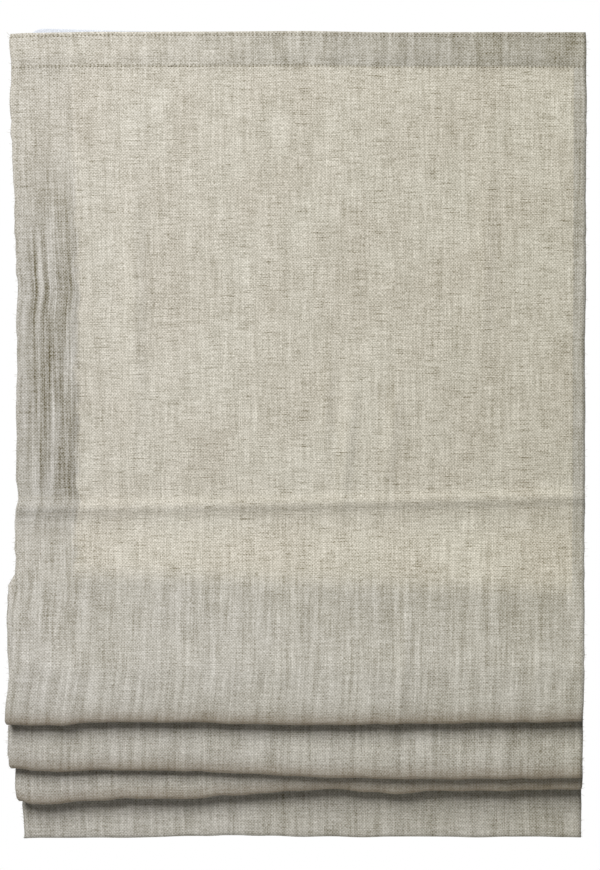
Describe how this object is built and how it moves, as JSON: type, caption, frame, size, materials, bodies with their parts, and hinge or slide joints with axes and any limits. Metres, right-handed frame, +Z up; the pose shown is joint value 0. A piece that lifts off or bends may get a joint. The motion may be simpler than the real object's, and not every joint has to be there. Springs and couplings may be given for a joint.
{
  "type": "roman blind",
  "caption": "Half raised linen roman blind: flat sheet over hanging folds, rods in sewn pockets, lift cords on drums in a slim headrail.",
  "frame": {"origin": "on the wall plane, midway between the two bracket screw holes", "axes": "+Z up, +X to the right as seen from the room, -Y from the wall into the room"},
  "size_m": [0.46, 0.0711, 0.649],
  "materials": {
    "linen": "natural linen, plain weave",
    "woven_tape": "white woven tape",
    "pocket_tape": "off-white sewn tape",
    "coated_aluminium": "white powder coat",
    "white_nylon": "moulded, satin",
    "glass_fibre": "drawn rod",
    "zinc_steel": "zinc plated",
    "mill_aluminium": "extruded, bare",
    "lift_cord": "braided polyester"
  },
  "bodies": {
    "headrail": {"headrail": "coated_aluminium", "hook_tape": "woven_tape", "loop_tape": "woven_tape", "linen_panel": "linen", "idler_end_cap": "white_nylon", "drive_housing": "white_nylon", "drive_cover": "white_nylon", "brake_spring": "zinc_steel", "drum_cradle_left": "white_nylon", "drum_cradle_right": "white_nylon", "wall_bracket_left": "zinc_steel", "wall_bracket_right": "zinc_steel", "clamp_screws": "zinc_steel", "lift_cord_left": "lift_cord", "lift_cord_right": "lift_cord", "rod_1": "glass_fibre", "rod_pocket_1": "pocket_tape", "rod_caps_1": "white_nylon", "cord_guides_1": "white_nylon"},
    "drive": {"drive_shaft": "zinc_steel", "shaft_bush": "white_nylon", "chain_wheel": "white_nylon", "cord_drum_left": "white_nylon", "cord_drum_right": "white_nylon", "wound_cord_left": "lift_cord", "wound_cord_right": "lift_cord"},
    "second_rod": {"rod_2": "glass_fibre", "rod_pocket_2": "pocket_tape", "rod_caps_2": "white_nylon", "cord_guides_2": "white_nylon"},
    "third_rod": {"rod_3": "glass_fibre", "rod_pocket_3": "pocket_tape", "rod_caps_3": "white_nylon", "cord_guides_3": "white_nylon"},
    "bottom_section": {"rod_4": "glass_fibre", "rod_pocket_4": "pocket_tape", "rod_caps_4": "white_nylon", "cord_guides_4": "white_nylon", "bottom_bar": "mill_aluminium", "cord_anchor_left": "white_nylon", "cord_anchor_right": "white_nylon"}
  },
  "joints": [
    {"name": "lift", "type": "slide", "parent": "headrail", "child": "bottom_section", "axis": [0, 0, 1], "range_m": [-0.794, 0], "deforming": ["linen_panel", "lift_cord_left", "lift_cord_right"]},
    {"name": "second_rod_travel", "type": "slide", "parent": "headrail", "child": "second_rod", "axis": [0, 0, 1], "range_m": [-0.249, 0]},
    {"name": "third_rod_travel", "type": "slide", "parent": "headrail", "child": "third_rod", "axis": [0, 0, 1], "range_m": [-0.5295, 0]},
    {"name": "drive_turn", "type": "hinge", "parent": "headrail", "child": "drive", "pos_m": [0, -0.0173, 0.0005], "axis": [1, 0, 0], "range_deg": [0, 7460]}
  ],
  "couplings": [
    {"joint": "second_rod_travel", "follows": "lift", "ratio": 0.31296},
    {"joint": "third_rod_travel", "follows": "lift", "ratio": 0.66624},
    {"joint": "drive_turn", "follows": "lift", "rad_per_m": -163.93}
  ]
}
